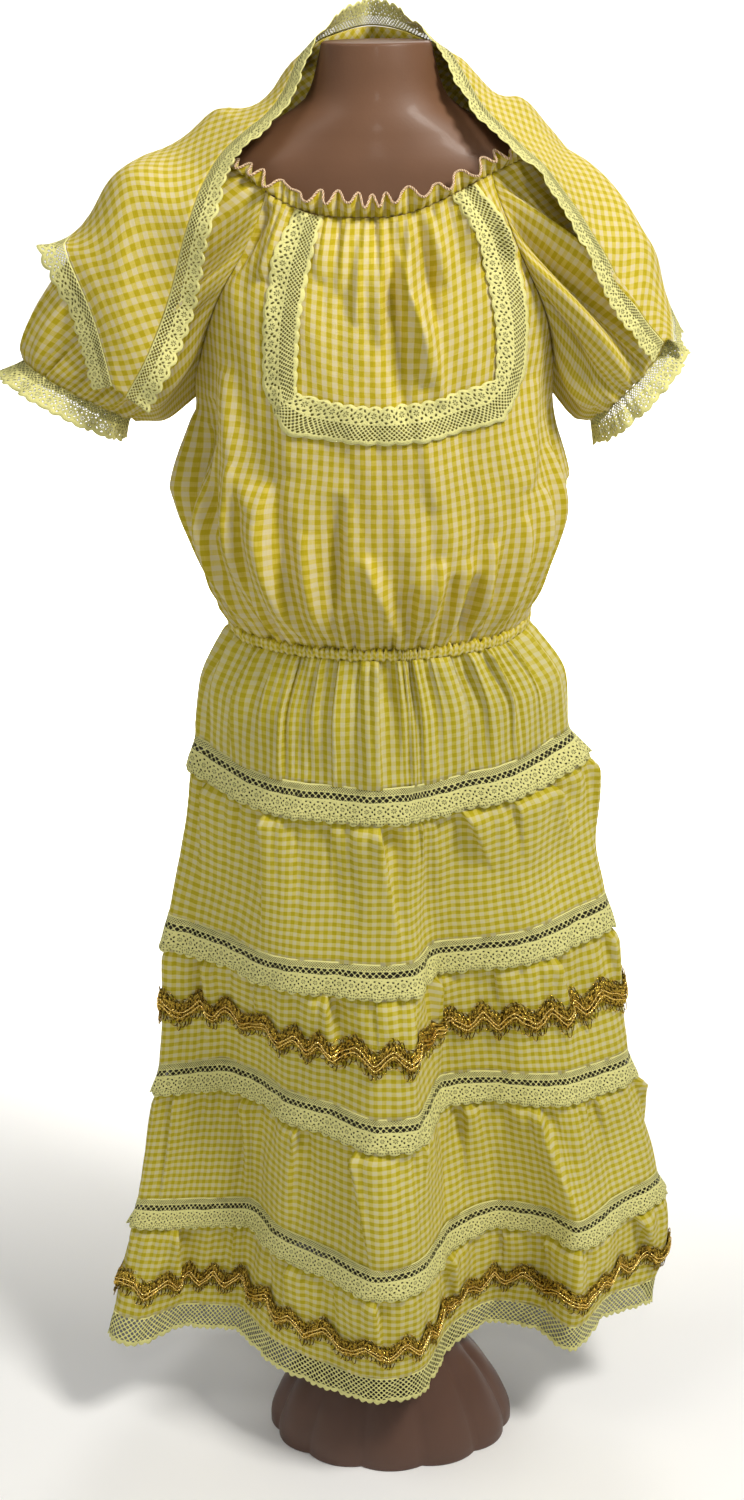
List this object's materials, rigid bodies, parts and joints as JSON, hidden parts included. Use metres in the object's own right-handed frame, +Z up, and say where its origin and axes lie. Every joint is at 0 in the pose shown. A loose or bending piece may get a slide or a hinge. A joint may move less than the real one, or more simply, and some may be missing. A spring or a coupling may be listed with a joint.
{
  "type": "santeria dress and kerchief on a dress form",
  "caption": "Tiered gingham dress with puff sleeves, beading lace and wavy gold braid, a lace-edged kerchief round the shoulders, on a limbless dress form with a fluted foot.",
  "frame": {"origin": "on the underside of the form's foot, at the middle of its width and below the middle of the torso", "axes": "+Z up along the form, the front of the dress faces -Y, +X is to the right as seen from the front"},
  "size_m": [0.6837, 0.3305, 1.5812],
  "materials": {
    "gingham": "matt plain-weave cotton check",
    "lace": "matt cotton lace",
    "gold_braid": "metallic thread with a bright sheen",
    "form": "satin moulded plastic"
  },
  "bodies": {
    "root": {"bodice_front": "gingham", "bodice_back": "gingham", "sleeve_left": "gingham", "sleeve_right": "gingham", "neck_heading": "gingham", "waist_casing": "gingham", "skirt_yoke": "gingham", "tier_2": "gingham", "tier_3": "gingham", "tier_4": "gingham", "tier_5": "gingham", "kerchief": "gingham", "chest_lace": "lace", "cuff_lace_left": "lace", "cuff_lace_right": "lace", "lace_band_1": "lace", "lace_band_2": "lace", "lace_band_3": "lace", "lace_band_4": "lace", "hem_lace": "lace", "kerchief_lace_neck": "lace", "kerchief_lace_left": "lace", "kerchief_lace_right": "lace", "gold_braid_upper": "gold_braid", "gold_braid_lower": "gold_braid", "form_torso": "form", "form_stand": "form"}
  },
  "joints": []
}
